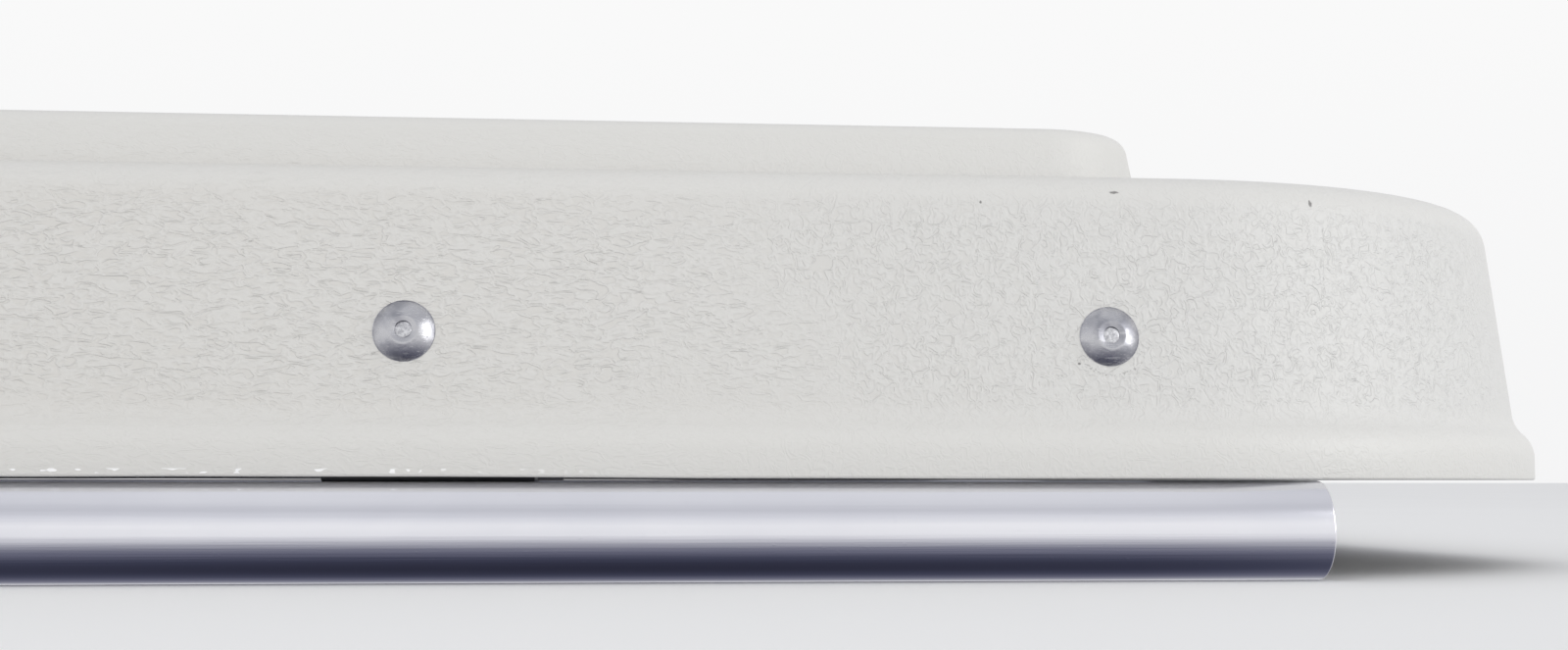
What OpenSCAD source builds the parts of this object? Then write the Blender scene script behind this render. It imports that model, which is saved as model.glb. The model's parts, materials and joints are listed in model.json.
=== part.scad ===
// Diving board: a moulded white deck shell riveted over an aluminium frame
// that stands on two round side rails.
// +X runs along the board to its free end, +Z is up, and the origin is the
// middle of the surface that the rails stand on.

/* [Board] */
// Overall length at the shell's lip
board_l = 1830; // [1500:10:2400]
// Overall width at the shell's lip
board_w = 460; // [380:5:560]
// Plan radius of the four lip corners
corner_r = 120; // [100:5:140]

/* [Shell] */
// Wall of the moulded shell
shell_t = 4; // [3:0.5:5]
// Height from the bottom of the lip to the ledge round the deck
side_h = 66.5; // [62:0.5:90]
// Lean of the side and end walls, in degrees
side_draft = 7; // [3:0.5:9]
// Radius where a side wall rolls over into the ledge
rim_r = 9; // [7:0.5:11]
// Height of the upright lip
lip_h = 5.4; // [4:0.2:8]
// Height of the flare above the lip
flare_h = 10; // [8:0.5:12]
// How far the flare steps in from the lip
flare_in = 5.2; // [4:0.2:6]

/* [Raised deck] */
// Height of the raised deck above the ledge
deck_h = 12; // [9:0.5:16]
// Set-back of the deck's foot from the lip at the sides
deck_side_in = 20.5; // [20:0.5:28]
// Set-back of the deck's foot from the lip at the ends
deck_end_in = 121; // [110:1:160]
// Lean of the deck's wall, in degrees
deck_draft = 11; // [5:1:15]
// Radius along the deck's top edge
deck_edge_r = 4; // [3:0.5:5]
// Plan radius of the deck's corners
deck_corner_r = 26; // [20:1:40]

/* [Core panel] */
// Clearance between the core panel and the shell round it
core_fit = 1; // [0.5:0.25:3]

/* [Side rails] */
// Outside diameter of a rail tube
rail_d = 21.3; // [19:0.1:25]
// Wall of a rail tube
rail_t = 1.5; // [1.2:0.1:2.5]
// Gap between a rail and the lip over it
rail_gap = 0.8; // [0.4:0.1:3]
// Distance from the lip's outer face in to a rail's axis
rail_in = 5; // [4.5:0.5:8]
// Distance from the lip's end back to a rail's end
rail_end_in = 92; // [60:1:120]
// How far a rail plug's face is sunk in its tube
plug_sink = 0.6; // [0.2:0.2:2]
// Thickness of a rail plug's face
plug_face = 2.4; // [1.6:0.2:4]
// Depth that a rail plug reaches behind its face
plug_depth = 18; // [10:1:40]

/* [Frame] */
// Height of the side channels, the end channels and the cross members
channel_h = 43; // [38:1:44]
// Width of a channel's flanges
flange_w = 25; // [22:1:32]
// Wall of the channels
channel_t = 3; // [2:0.5:4]
// Height from the bottom of the lip to the channels
channel_lift = 13; // [12.5:0.5:16]
// Clearance from an end channel's ends to the corners
end_channel_clear = 10; // [5:1:20]
// Clearance from a cross member's ends to the channels' webs, for the rivets there
web_clear = 10; // [8:1:12]
// Number of cross members, kept at seven by the list of nodes
cross_n = 7; // [7:1:7]
// Width of a cross member
cross_w = 25; // [20:1:30]
// Wall of a cross member
cross_t = 2; // [1.5:0.5:3]
// Distance from a side channel's end to the middle of the nearest cross member
cross_end_in = 35; // [30:1:60]
// Width of a nose strut
strut_w = 20; // [15:1:25]
// Clearance from a nose strut's side to the axis of the end rivet beside it
strut_clear = 8; // [7:1:12]

/* [Rail brackets] */
// Number of brackets a side, kept at six by the list of nodes
bracket_n = 6; // [6:1:6]
// Length of a bracket along the rail
bracket_l = 44; // [40:1:60]
// Width of a bracket across the rail
bracket_w = 22; // [20:1:26]
// Height of a bracket's foot above the surface that the rails stand on
bracket_foot = 8; // [6:0.5:10]
// Distance from a rail's axis in to the outer face of its brackets
bracket_in = 4; // [3.5:0.5:6]
// Distance between the two bolts of a bracket
bracket_bolt_gap = 24; // [22:1:30]

/* [Rivets] */
// Distance between neighbouring rivets along a side
rivet_pitch = 150; // [120:5:180]
// Distance from a side channel's front end back to its first rivet
rivet_end_in = 17; // [12:1:30]
// Height of the rivets above the bottom of the lip
rivet_z = 30; // [24:0.5:40]
// Distance from an end channel's ends in to its two rivets
rivet_edge = 30; // [12:1:35]
// Shank diameter of a rivet
rivet_d = 6.4; // [4.8:0.1:6.4]
// Diameter of a rivet's domed head
rivet_head_d = 13; // [10:0.5:16]
// Height of a rivet's domed head
rivet_head_h = 2.6; // [2:0.1:3]
// Diameter of the mandrel left inside a rivet
mandrel_d = 3.6; // [2.8:0.1:3.8]

/* [Anchor and fulcrum] */
// Thickness of the anchor plate and the fulcrum plate
plate_t = 6; // [5:0.5:8]
// Width of the anchor plate and the fulcrum plate
plate_w = 300; // [260:5:320]
// Distance along the board between the anchor holes
anchor_hole_l = 180; // [120:5:190]
// Distance across the board between the anchor holes
anchor_hole_w = 120; // [80:5:150]
// Diameter of an anchor hole
anchor_hole_d = 13; // [11:0.5:14]
// Length of the fulcrum plate along the board
fulcrum_l = 120; // [90:5:150]
// Thickness of the rubber fulcrum pad
pad_t = 10; // [6:1:12]
// Border of the fulcrum plate left bare round the pad
pad_border = 8; // [4:1:15]

/* [Hidden] */

$fn = 64;
over = 1;                 // how far a cutter runs past the face that it cuts
hole_fit = 0.2;           // added to a fastener's diameter for its hole
left = 1;
right = -1;
front = 1;
rear = -1;

white = [0.88, 0.87, 0.85];
ply = [0.78, 0.64, 0.44];
mill_aluminium = [0.72, 0.73, 0.75];
bright_aluminium = [0.86, 0.87, 0.90];
steel = [0.60, 0.61, 0.63];
black = [0.08, 0.08, 0.09];

// Heights of the levels above the floor
lip_z = rail_d + rail_gap;
ledge_z = lip_z + side_h;
deck_z = ledge_z + deck_h;
channel_z = lip_z + channel_lift;
channel_top_z = channel_z + channel_h;
plate_z = channel_z - plate_t;

// The side wall, with insets measured inwards from the lip's outer face
face_foot_z = lip_z + lip_h + flare_h;
side_slope = tan(side_draft);
deck_slope = tan(deck_draft);
wall_in = shell_t / cos(side_draft);
deck_wall_in = shell_t / cos(deck_draft);

// Inset of the side wall's outer face at height z
function face_in(z) = flare_in + (z - face_foot_z) * side_slope;

// Inset of the side wall's inner face at height z
function inner_in(z) = face_in(z) + wall_in;

// Points of an arc about [u, z] with a radius r, from angle a to angle b
function arc(u, z, r, a, b, steps) =
    [for (i = [0 : steps]) [u - r * cos(a + (b - a) * i / steps), z + r * sin(a + (b - a) * i / steps)]];

// Points where a wall of slope angle lean rolls over into a level top
function roll_over(foot_in, foot_z, top_z, r, lean, steps) =
    let (z = top_z - r)
    let (touch_z = z + r * sin(lean))
    let (touch_in = foot_in + (touch_z - foot_z) * tan(lean))
    arc(touch_in + r * cos(lean), z, r, lean, 90, steps);

// The S-shaped flare between the lip and the side wall
flare_steps = 8;
flare = [for (i = [0 : flare_steps])
    let (s = i / flare_steps)
    [flare_in * (1 - cos(180 * s)) / 2, lip_z + lip_h + flare_h * s]];

// Outer and inner lines of the shell's side, as [inset, height]
rim_steps = 10;
shell_outer = concat([[0, lip_z]], flare,
    roll_over(flare_in, face_foot_z, ledge_z, rim_r, side_draft, rim_steps));
shell_inner = concat([[shell_t, lip_z - over], [shell_t, lip_z + lip_h]],
    [[inner_in(face_foot_z), face_foot_z]],
    roll_over(inner_in(face_foot_z), face_foot_z, ledge_z - shell_t, rim_r - shell_t, side_draft, rim_steps));

// Outer and inner lines of the raised deck's wall, with insets from its foot
deck_outer = concat([[-over * deck_slope, ledge_z - over]],
    roll_over(0, ledge_z, deck_z, deck_edge_r, deck_draft, rim_steps));
deck_inner_foot = ledge_z - shell_t - over;
deck_inner = [
    [deck_wall_in - (ledge_z - deck_inner_foot) * deck_slope, deck_inner_foot],
    [deck_wall_in + (deck_h - shell_t) * deck_slope, deck_z - shell_t]];

// A block with round plan corners: its edge follows line round the outline
// length by width, with corners of radius r, from bottom_z up to the line's top
module edged_block(length, width, r, line, bottom_z) {
    top_z = line[len(line) - 1][1];
    section = concat([[0, bottom_z]], [for (p = line) [r - p[0], p[1]]], [[0, top_z]]);
    straight_l = length - 2 * r;
    straight_w = width - 2 * r;
    for (x = [-1, 1], y = [-1, 1])
        translate([x * straight_l / 2, y * straight_w / 2, 0])
            rotate([0, 0, x > 0 ? (y > 0 ? 0 : -90) : (y > 0 ? 90 : 180)])
                rotate_extrude(angle = 90) polygon(section);
    for (turn = [0, 180])
        rotate([0, 0, turn]) {
            translate([-straight_l / 2, straight_w / 2, 0])
                rotate([90, 0, 90]) linear_extrude(straight_l) polygon(section);
            translate([straight_l / 2, straight_w / 2, 0])
                rotate([90, 0, 0]) linear_extrude(straight_w) polygon(section);
        }
    translate([-straight_l / 2, -straight_w / 2, bottom_z])
        cube([straight_l, straight_w, top_z - bottom_z]);
}

// Deck foot outline
deck_l = board_l - 2 * deck_end_in;
deck_w = board_w - 2 * deck_side_in;

// Places of the rivets
channel_l = board_l - 2 * corner_r;
end_channel_l = board_w - 2 * corner_r - 2 * end_channel_clear;
rivet_end_gap = end_channel_l - 2 * rivet_edge;
rivet_n = floor((channel_l - 2 * rivet_end_in) / rivet_pitch) + 1;
rivet_x = [for (i = [0 : rivet_n - 1]) channel_l / 2 - rivet_end_in - i * rivet_pitch];
rivet_top_z = lip_z + rivet_z;

// Puts its child on a side wall's outer face, with the child's +Z out of the wall
module on_side(side, x) {
    translate([x, side * (board_w / 2 - face_in(rivet_top_z)), rivet_top_z])
        rotate([-side * (90 - side_draft), 0, 0]) children();
}

// The same on an end wall
module on_end(end, y) {
    translate([end * (board_l / 2 - face_in(rivet_top_z)), y, rivet_top_z])
        rotate([0, end * (90 - side_draft), 0]) children();
}

module at_side_rivets(side) {
    for (x = rivet_x) on_side(side, x) children();
}

module at_end_rivets(end) {
    for (y = [-1, 1] * rivet_end_gap / 2) on_end(end, y) children();
}

// What a rivet joins: the shell's wall and the channel's web
grip = shell_t + channel_t;
hole_reach = 10;

module rivet_hole() {
    translate([0, 0, -grip - hole_reach])
        cylinder(d = rivet_d + hole_fit, h = grip + 2 * hole_reach);
}

module rivet_holes() {
    for (side = [left, right]) at_side_rivets(side) rivet_hole();
    for (end = [front, rear]) at_end_rivets(end) rivet_hole();
}

// ---- shell and core ----

module deck_shell() color(white) {
    difference() {
        union() {
            edged_block(board_l, board_w, corner_r, shell_outer, lip_z);
            edged_block(deck_l, deck_w, deck_corner_r, deck_outer, ledge_z - over);
        }
        edged_block(board_l, board_w, corner_r, shell_inner, lip_z - over);
        edged_block(deck_l, deck_w, deck_corner_r, deck_inner, deck_inner_foot);
        rivet_holes();
    }
}

core_in = deck_wall_in + (deck_h - shell_t) * deck_slope + core_fit;
core_l = deck_l - 2 * core_in;
core_w = deck_w - 2 * core_in;
core_r = deck_corner_r - core_in;
core_t = deck_z - shell_t - channel_top_z;

module deck_core() color(ply) {
    difference() {
        edged_block(core_l, core_w, core_r, [[0, channel_top_z], [0, channel_top_z + core_t]], channel_top_z);
        for (side = [left, right]) at_core_screws(side) core_screw_hole();
    }
}

// ---- channels ----

web_in = channel_t / cos(side_draft);
flange_tip_in = inner_in(channel_top_z) + flange_w;

// A channel's section, with insets from the lip's outer face
channel_section = [
    [inner_in(channel_z), channel_z],
    [inner_in(channel_top_z), channel_top_z],
    [flange_tip_in, channel_top_z],
    [flange_tip_in, channel_top_z - channel_t],
    [inner_in(channel_top_z - channel_t) + web_in, channel_top_z - channel_t],
    [inner_in(channel_z + channel_t) + web_in, channel_z + channel_t],
    [flange_tip_in, channel_z + channel_t],
    [flange_tip_in, channel_z]];

module side_channel(side) color(mill_aluminium) {
    difference() {
        mirror([0, side > 0 ? 0 : 1, 0])
            translate([-channel_l / 2, board_w / 2, 0])
                rotate([90, 0, 90]) linear_extrude(channel_l)
                    polygon([for (p = channel_section) [-p[0], p[1]]]);
        at_side_rivets(side) rivet_hole();
        at_core_screws(side) core_screw_hole();
        at_bracket_bolts(side) bracket_bolt_hole();
    }
}

module end_channel(end) color(mill_aluminium) {
    difference() {
        mirror([end > 0 ? 0 : 1, 0, 0])
            translate([board_l / 2, end_channel_l / 2, 0])
                rotate([90, 0, 0]) linear_extrude(end_channel_l)
                    polygon([for (p = channel_section) [-p[0], p[1]]]);
        at_end_rivets(end) rivet_hole();
    }
}

// ---- cross members and nose struts ----

cross_span = channel_l - 2 * cross_end_in;
cross_pitch = cross_span / (cross_n - 1);

// Place of cross member i along the board, counted from the rear
function cross_x(i) = -cross_span / 2 + (i - 1) * cross_pitch;

// A level box tube along +X, centred on the axis, on the channels' bottom
module box_tube(length, width) {
    difference() {
        translate([0, -width / 2, channel_z]) cube([length, width, channel_h]);
        translate([-over, -width / 2 + cross_t, channel_z + cross_t])
            cube([length + 2 * over, width - 2 * cross_t, channel_h - 2 * cross_t]);
    }
}

// Keeps a tube's end clear of a channel's flanges, which it reaches between
module cope(length, width) {
    for (z = [channel_z - over, channel_top_z - channel_t])
        translate([0, -width / 2 - over, z])
            cube([length, width + 2 * over, channel_t + over]);
}

// Inset of a tube's end, short of the leaning web and of the rivets through it
web_stop_in = inner_in(channel_top_z - channel_t) + web_in + web_clear;
cope_l = flange_tip_in - web_stop_in;
cross_l = board_w - 2 * web_stop_in;

module cross_member(i) color(mill_aluminium) {
    translate([cross_x(i), -cross_l / 2, 0]) rotate([0, 0, 90])
        difference() {
            box_tube(cross_l, cross_w);
            translate([-over, 0, 0]) cope(cope_l + over, cross_w);
            translate([cross_l - cope_l, 0, 0]) cope(cope_l + over, cross_w);
            cross_bolt_holes(i);
        }
}

strut_y = rivet_end_gap / 2 - strut_clear - strut_w / 2;
strut_start = cross_x(cross_n) + cross_w / 2;
strut_l = board_l / 2 - web_stop_in - strut_start;

module nose_strut(end, side) color(mill_aluminium) {
    mirror([end > 0 ? 0 : 1, 0, 0])
        translate([strut_start, side * strut_y, 0])
            difference() {
                box_tube(strut_l, strut_w);
                translate([strut_l - cope_l, 0, 0]) cope(cope_l + over, strut_w);
            }
}

// ---- core screws ----

screw_d = 4.8;
screw_l = 12;
screw_head_d = 9;
screw_head_h = 2.6;
core_screw_y = board_w / 2 - flange_tip_in + 6;
// Two screws a side in each bay between cross members
screw_x = [for (i = [1 : cross_n - 1], share = [0.25, 0.75]) cross_x(i) + share * cross_pitch];

module at_core_screws(side) {
    for (x = screw_x) translate([x, side * core_screw_y, channel_top_z - channel_t]) children();
}

module core_screw_hole() {
    translate([0, 0, -over]) cylinder(d = screw_d + hole_fit, h = channel_t + screw_l + over);
}

module core_screw() {
    cylinder(d = screw_d, h = channel_t + screw_l - over);
    translate([0, 0, -screw_head_h]) cylinder(d1 = screw_head_d * 0.7, d2 = screw_head_d, h = screw_head_h);
}

module core_screws(side) color(steel) {
    at_core_screws(side) core_screw();
}

// ---- rails ----

rail_l = board_l - 2 * rail_end_in;
rail_y = board_w / 2 - rail_in;
rail_bore = rail_d - 2 * rail_t;

module along_rail(side, x) {
    translate([x, side * rail_y, rail_d / 2]) rotate([0, 90, 0]) children();
}

module rail(side) color(bright_aluminium) {
    difference() {
        along_rail(side, -rail_l / 2) cylinder(d = rail_d, h = rail_l);
        along_rail(side, -rail_l / 2 - over) cylinder(d = rail_bore, h = rail_l + 2 * over);
    }
}

plug_fit = 0.4;
plug_wall = 2;
plug_taper = 1;
plug_ribs = 3;
plug_rib_h = 0.15;

// A push-in plug: a face that fills the bore and a hollow ribbed stem behind it
module rail_plug(end, side) color(black) {
    face_r = rail_bore / 2;
    stem_r = (rail_bore - plug_fit) / 2;
    stem_end = -plug_face - plug_depth;
    rib_pitch = plug_depth / (plug_ribs + 1);
    ribs = [for (i = [1 : plug_ribs], p = [[0, 1], [plug_rib_h, 0], [0, -1]])
        [stem_r + p[0], -plug_face - i * rib_pitch + p[1]]];
    mirror([end > 0 ? 0 : 1, 0, 0]) along_rail(side, rail_l / 2 - plug_sink)
        rotate_extrude() polygon(concat(
            [[0, 0], [face_r, 0], [face_r, -plug_face], [stem_r, -plug_face]],
            ribs,
            [[stem_r, stem_end + plug_taper], [stem_r - plug_taper, stem_end],
             [stem_r - plug_wall, stem_end], [stem_r - plug_wall, -plug_face], [0, -plug_face]]));
}

// ---- rail brackets ----

bracket_y = rail_y - bracket_in - bracket_w / 2;
bolt_d = 6;
bolt_head_w = 10;
bolt_head_h = 4;
bolt_grip = 14;
washer_d = 12;
washer_t = 1.2;
bracket_bolt_y = bracket_y - bracket_w / 2 + washer_d / 2;

// A bracket sits half-way between two cross members
function bracket_x(i) = cross_x(i) + cross_pitch / 2;

module rail_bracket(side, i) color(mill_aluminium) {
    difference() {
        translate([bracket_x(i) - bracket_l / 2, side * bracket_y - bracket_w / 2, bracket_foot])
            cube([bracket_l, bracket_w, channel_z - bracket_foot]);
        along_rail(side, bracket_x(i) - bracket_l) cylinder(d = rail_d, h = 2 * bracket_l);
        at_bracket_bolts(side) bracket_bolt_hole();
    }
}

// The top of a channel's lower flange, over each bracket bolt
module at_bracket_bolts(side) {
    for (i = [1 : bracket_n], x = [-1, 1] * bracket_bolt_gap / 2)
        translate([bracket_x(i) + x, side * bracket_bolt_y, channel_z + channel_t]) children();
}

module bracket_bolt_hole() {
    translate([0, 0, -channel_t - bolt_grip - over])
        cylinder(d = bolt_d + hole_fit, h = channel_t + bolt_grip + 2 * over);
}

module hex_head(width, height) {
    cylinder(d = width / cos(30), h = height, $fn = 6);
}

module bracket_bolts(side) color(steel) {
    at_bracket_bolts(side) {
        translate([0, 0, washer_t]) hex_head(bolt_head_w, bolt_head_h);
        translate([0, 0, -channel_t - bolt_grip]) cylinder(d = bolt_d, h = channel_t + bolt_grip + washer_t);
    }
}

module bracket_washers(side) color(steel) {
    at_bracket_bolts(side)
        difference() {
            cylinder(d = washer_d, h = washer_t);
            translate([0, 0, -over]) cylinder(d = bolt_d + hole_fit, h = washer_t + 2 * over);
        }
}

// ---- rivets ----

head_sphere_r = (pow(rivet_head_d / 2, 2) + pow(rivet_head_h, 2)) / (2 * rivet_head_h);
bulb_d = 9;
bulb_l = 5;
mandrel_head_d = 5.8;
mandrel_head_l = 2.4;
mandrel_sink = 0.5;

// Domed head out of the wall, shank through it and set bulb behind the web
module rivet() {
    difference() {
        union() {
            intersection() {
                translate([0, 0, rivet_head_h - head_sphere_r]) sphere(r = head_sphere_r);
                cylinder(d = rivet_head_d + over, h = rivet_head_h + over);
            }
            translate([0, 0, -grip - bulb_l]) cylinder(d = rivet_d, h = grip + bulb_l + over);
            translate([0, 0, -grip - bulb_l]) cylinder(d1 = rivet_d, d2 = bulb_d, h = bulb_l);
        }
        translate([0, 0, -grip - bulb_l - over])
            cylinder(d = mandrel_d, h = grip + bulb_l + rivet_head_h + 2 * over);
    }
}

module mandrel() {
    translate([0, 0, -grip - bulb_l])
        cylinder(d = mandrel_d, h = grip + bulb_l + rivet_head_h - mandrel_sink);
    translate([0, 0, -grip - bulb_l - mandrel_head_l])
        cylinder(d = mandrel_head_d, h = mandrel_head_l);
}

module shell_rivets_side(side) color(bright_aluminium) {
    at_side_rivets(side) rivet();
}

module shell_rivets_end(end) color(bright_aluminium) {
    at_end_rivets(end) rivet();
}

module rivet_mandrels_side(side) color(steel) {
    at_side_rivets(side) mandrel();
}

module rivet_mandrels_end(end) color(steel) {
    at_end_rivets(end) mandrel();
}

// ---- anchor plate and fulcrum ----

plate_bolt_d = 8;
plate_bolt_head_w = 13;
plate_bolt_head_h = 5.3;
plate_nut_h = 6.5;
plate_bolt_edge = 30;
plate_corner_r = 12;
plate_bolt_l = plate_t + cross_t + plate_nut_h + 2;
plate_bolt_y = plate_w / 2 - plate_bolt_edge;
anchor_x = (cross_x(1) + cross_x(2)) / 2;
anchor_l = cross_pitch + cross_w + 2 * plate_corner_r;
fulcrum_cross = 3;
fulcrum_x = cross_x(fulcrum_cross);

// The bottom of a plate, under each of the bolts that hold it to cross members
module at_plate_bolts(crosses) {
    for (i = crosses, y = [-1, 1] * plate_bolt_y) translate([cross_x(i), y, plate_z]) children();
}

module plate_bolt_hole() {
    translate([0, 0, -over])
        cylinder(d = plate_bolt_d + hole_fit, h = plate_t + cross_t + 2 * over);
}

// The same holes in a cross member, in the frame that its tube is drawn in
module cross_bolt_holes(i) {
    if (i <= fulcrum_cross)
        for (y = [-1, 1] * plate_bolt_y) translate([cross_l / 2 + y, 0, plate_z]) plate_bolt_hole();
}

module plate_blank(x, length) {
    edged = [[0, plate_z], [0, plate_z + plate_t]];
    translate([x, 0, 0]) edged_block(length, plate_w, plate_corner_r, edged, plate_z);
}

module anchor_plate() color(mill_aluminium) {
    difference() {
        plate_blank(anchor_x, anchor_l);
        at_plate_bolts([1, 2]) plate_bolt_hole();
        for (x = [-1, 1] * anchor_hole_l / 2, y = [-1, 1] * anchor_hole_w / 2)
            translate([anchor_x + x, y, plate_z - over])
                cylinder(d = anchor_hole_d, h = plate_t + 2 * over);
    }
}

module fulcrum_plate() color(mill_aluminium) {
    difference() {
        plate_blank(fulcrum_x, fulcrum_l);
        at_plate_bolts([fulcrum_cross]) plate_bolt_hole();
    }
}

// The pad stops short of the bolt heads at the plate's two ends
pad_w = plate_w - 4 * plate_bolt_edge + pad_border * 2;
pad_l = fulcrum_l - 2 * pad_border;
pad_groove = 3;
pad_groove_n = 4;

module fulcrum_pad() color(black) {
    difference() {
        translate([fulcrum_x - pad_l / 2, -pad_w / 2, plate_z - pad_t]) cube([pad_l, pad_w, pad_t]);
        for (i = [1 : pad_groove_n])
            translate([fulcrum_x - pad_l / 2 + pad_l * i / (pad_groove_n + 1) - pad_groove / 2,
                       -pad_w / 2 - over, plate_z - pad_t - over])
                cube([pad_groove, pad_w + 2 * over, pad_groove + over]);
    }
}

module plate_bolts(crosses) color(steel) {
    at_plate_bolts(crosses) {
        translate([0, 0, -plate_bolt_head_h]) hex_head(plate_bolt_head_w, plate_bolt_head_h);
        cylinder(d = plate_bolt_d, h = plate_bolt_l);
    }
}

module plate_nuts(crosses) color(steel) {
    at_plate_bolts(crosses) translate([0, 0, plate_t + cross_t])
        difference() {
            hex_head(plate_bolt_head_w, plate_nut_h);
            translate([0, 0, -over]) cylinder(d = plate_bolt_d, h = plate_nut_h + 2 * over);
        }
}

deck_shell();
deck_core();
side_channel(left);  // side_channel_left
side_channel(right);  // side_channel_right
end_channel(front);  // end_channel_front
end_channel(rear);  // end_channel_rear
for (i = [1 : cross_n])
    cross_member(i);
nose_strut(front, left);  // nose_strut_front_left
nose_strut(front, right);  // nose_strut_front_right
nose_strut(rear, left);  // nose_strut_rear_left
nose_strut(rear, right);  // nose_strut_rear_right
rail(left);  // rail_left
rail(right);  // rail_right
rail_plug(front, left);  // rail_plug_front_left
rail_plug(front, right);  // rail_plug_front_right
rail_plug(rear, left);  // rail_plug_rear_left
rail_plug(rear, right);  // rail_plug_rear_right
for (i = [1 : bracket_n])
    rail_bracket(left, i);
for (i = [1 : bracket_n])
    rail_bracket(right, i);
bracket_bolts(left);  // bracket_bolts_left
bracket_bolts(right);  // bracket_bolts_right
bracket_washers(left);  // bracket_washers_left
bracket_washers(right);  // bracket_washers_right
shell_rivets_side(left);  // shell_rivets_left
shell_rivets_side(right);  // shell_rivets_right
shell_rivets_end(front);  // shell_rivets_front
shell_rivets_end(rear);  // shell_rivets_rear
rivet_mandrels_side(left);  // rivet_mandrels_left
rivet_mandrels_side(right);  // rivet_mandrels_right
rivet_mandrels_end(front);  // rivet_mandrels_front
rivet_mandrels_end(rear);  // rivet_mandrels_rear
core_screws(left);  // core_screws_left
core_screws(right);  // core_screws_right
anchor_plate();
plate_bolts([1, 2]);  // anchor_plate_bolts
plate_nuts([1, 2]);  // anchor_plate_nuts
fulcrum_plate();
fulcrum_pad();
plate_bolts([fulcrum_cross]);  // fulcrum_bolts
plate_nuts([fulcrum_cross]);  // fulcrum_nuts
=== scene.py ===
# %% [markdown]
# # A diving board
#
# The board is a moulded white shell riveted over an aluminium frame, which
# stands on two bright round rails. The frame file already holds every piece at
# its true size and place. This lesson dresses it: it models the shell, rails,
# rivets and small fittings again with the soft edges and surface detail of the
# real ones, and gives each piece a finish made of shader nodes.

# %% Load the frame
import json
import math
import random

import bmesh
import bpy
from mathutils import Matrix, Vector

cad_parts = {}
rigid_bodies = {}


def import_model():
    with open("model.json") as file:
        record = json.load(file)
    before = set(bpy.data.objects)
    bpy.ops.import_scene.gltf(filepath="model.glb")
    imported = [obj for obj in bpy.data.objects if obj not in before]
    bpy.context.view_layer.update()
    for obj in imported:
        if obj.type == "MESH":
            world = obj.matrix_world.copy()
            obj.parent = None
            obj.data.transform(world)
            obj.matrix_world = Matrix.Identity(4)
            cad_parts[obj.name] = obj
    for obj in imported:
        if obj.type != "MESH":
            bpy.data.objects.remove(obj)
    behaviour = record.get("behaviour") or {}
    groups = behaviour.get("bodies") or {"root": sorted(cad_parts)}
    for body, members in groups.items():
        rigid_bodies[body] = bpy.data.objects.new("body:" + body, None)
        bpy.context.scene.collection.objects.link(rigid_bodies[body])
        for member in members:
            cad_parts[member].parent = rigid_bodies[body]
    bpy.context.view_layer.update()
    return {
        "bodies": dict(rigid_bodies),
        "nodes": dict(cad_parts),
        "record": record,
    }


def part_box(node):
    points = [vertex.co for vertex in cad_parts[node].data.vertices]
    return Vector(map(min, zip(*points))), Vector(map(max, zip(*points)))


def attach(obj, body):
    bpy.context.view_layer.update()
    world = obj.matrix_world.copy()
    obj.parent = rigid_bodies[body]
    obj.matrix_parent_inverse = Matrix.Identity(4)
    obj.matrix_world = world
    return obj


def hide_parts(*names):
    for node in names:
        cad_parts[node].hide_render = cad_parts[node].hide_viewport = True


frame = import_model()
BODY = list(frame["bodies"])[0]
MM = 0.001
print("body", BODY, "with", len(frame["nodes"]), "pieces")

# %% [markdown]
# ## Sizes
#
# What a box can't tell, such as the lean of a wall or the radius of a rim, is
# named here once, in millimetres.

# %% Sizes of the shell
shell_low, shell_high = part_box("deck_shell")
LIP_Z = shell_low.z
DECK_Z = shell_high.z
LENGTH = shell_high.x - shell_low.x
WIDTH = shell_high.y - shell_low.y

WALL = 4 * MM
DECK_HEIGHT = 12 * MM
LEDGE_Z = DECK_Z - DECK_HEIGHT
CORNER_RADIUS = 120 * MM
LIP_HEIGHT = 5.4 * MM
FLARE_HEIGHT = 10 * MM
FLARE_STEP = 5.2 * MM
SIDE_LEAN = math.radians(7)
RIM_RADIUS = 9 * MM
DECK_SIDE_IN = 20.5 * MM
DECK_END_IN = 121 * MM
DECK_CORNER = 26 * MM
DECK_LEAN = math.radians(11)
DECK_EDGE = 4 * MM
FACE_FOOT_Z = LIP_Z + LIP_HEIGHT + FLARE_HEIGHT
print(f"shell {LENGTH:.3f} x {WIDTH:.3f} m, lip at {LIP_Z * 1000:.1f} mm, deck at {DECK_Z * 1000:.1f} mm")


def face_inset(z):
    """How far the side wall's outer face stands in from the lip at height z."""
    return FLARE_STEP + (z - FACE_FOOT_Z) * math.tan(SIDE_LEAN)


# %% [markdown]
# ## Camera
#
# The camera is close to the free end, at about the height of the lip, and is
# turned a little towards the end and tilted up. Its place is told from the
# shell's lip, so that it moves with the lip's end if the board changes. The turn,
# tilt and roll are in radians, and the lens and sensor in millimetres.

# %% Camera
CAMERA_BACK_FROM_END = 247.9 * MM
CAMERA_BEFORE_LIP = 408.7 * MM
CAMERA_OVER_LIP = -1.2 * MM
CAMERA_TURN = 0.0970
CAMERA_TILT = 0.0792
CAMERA_ROLL = 0.0009
CAMERA_NEAREST = 0.01
SENSOR_WIDTH = 36.0
FOCAL_LENGTH = 45.315

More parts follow.
